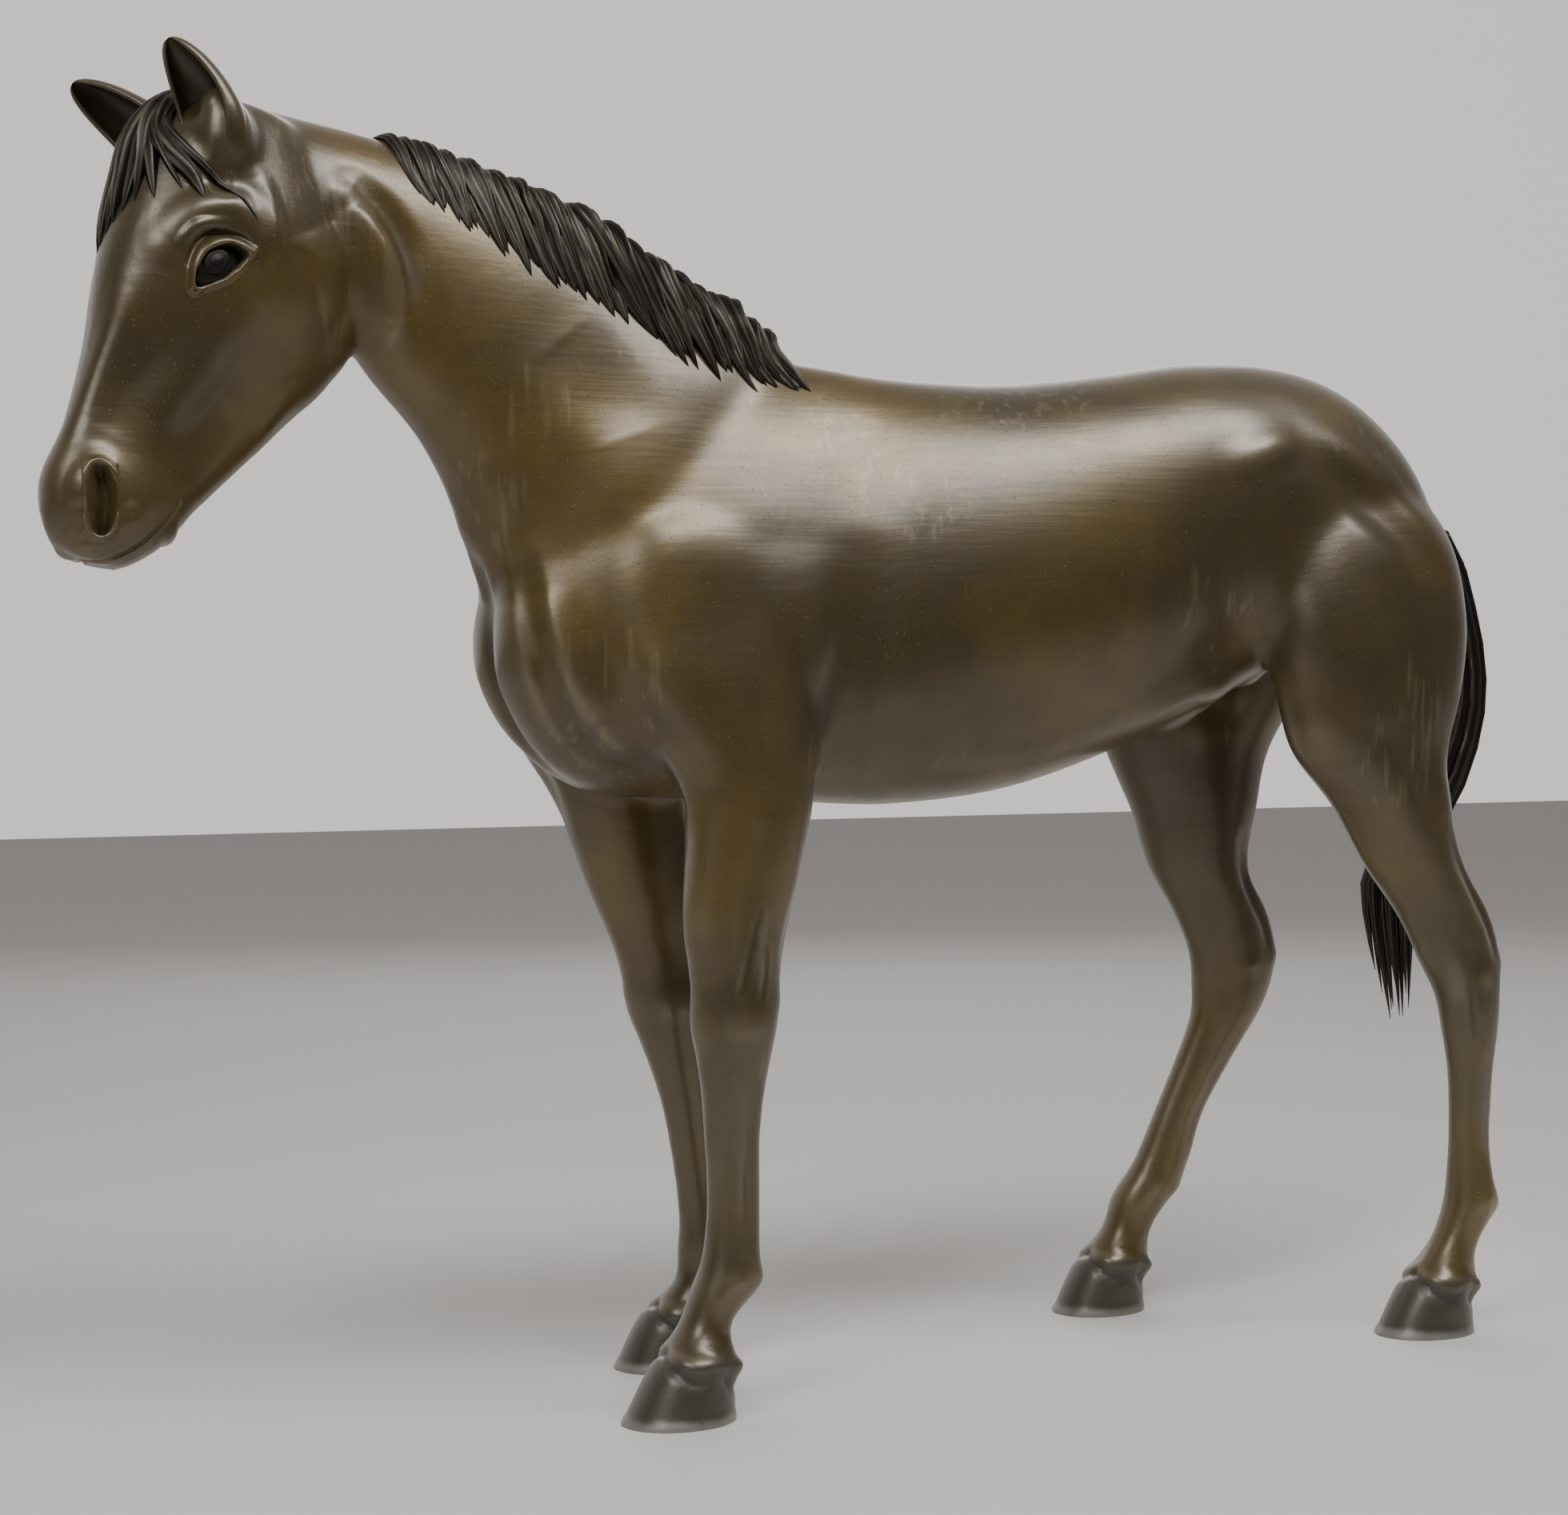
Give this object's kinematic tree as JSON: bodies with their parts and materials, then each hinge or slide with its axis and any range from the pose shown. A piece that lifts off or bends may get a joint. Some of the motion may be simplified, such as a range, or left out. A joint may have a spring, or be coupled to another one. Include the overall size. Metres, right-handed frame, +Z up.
{
  "type": "bronze horse statue",
  "caption": "Standing bronze horse statue, cast hollow in welded sections, with its head lowered and turned to its left and a dark mane and tail.",
  "frame": {"origin": "middle of the overall box, on the floor under the hooves", "axes": "+Z up, the horse faces -X and its left side faces -Y"},
  "size_m": [0.6338, 0.1416, 0.5098],
  "materials": {
    "body_patina": "satin olive brown patina, rubbed on the high places",
    "hair_patina": "dark brown patina with rubbed strands",
    "raw_bronze": "bare cast bronze"
  },
  "bodies": {
    "root": {"torso_casting": "body_patina", "core_window_plate": "body_patina", "neck_casting": "body_patina", "head_casting": "body_patina", "ear_left": "body_patina", "ear_right": "body_patina", "forelock": "hair_patina", "mane_front": "hair_patina", "mane_rear": "hair_patina", "tail": "hair_patina", "foreleg_left": "body_patina", "foreleg_right": "body_patina", "hindleg_left": "body_patina", "hindleg_right": "body_patina", "neck_collar": "raw_bronze", "head_collar": "raw_bronze", "foreleg_left_collar": "raw_bronze", "foreleg_right_collar": "raw_bronze", "hindleg_left_collar": "raw_bronze", "hindleg_right_collar": "raw_bronze"}
  },
  "joints": []
}
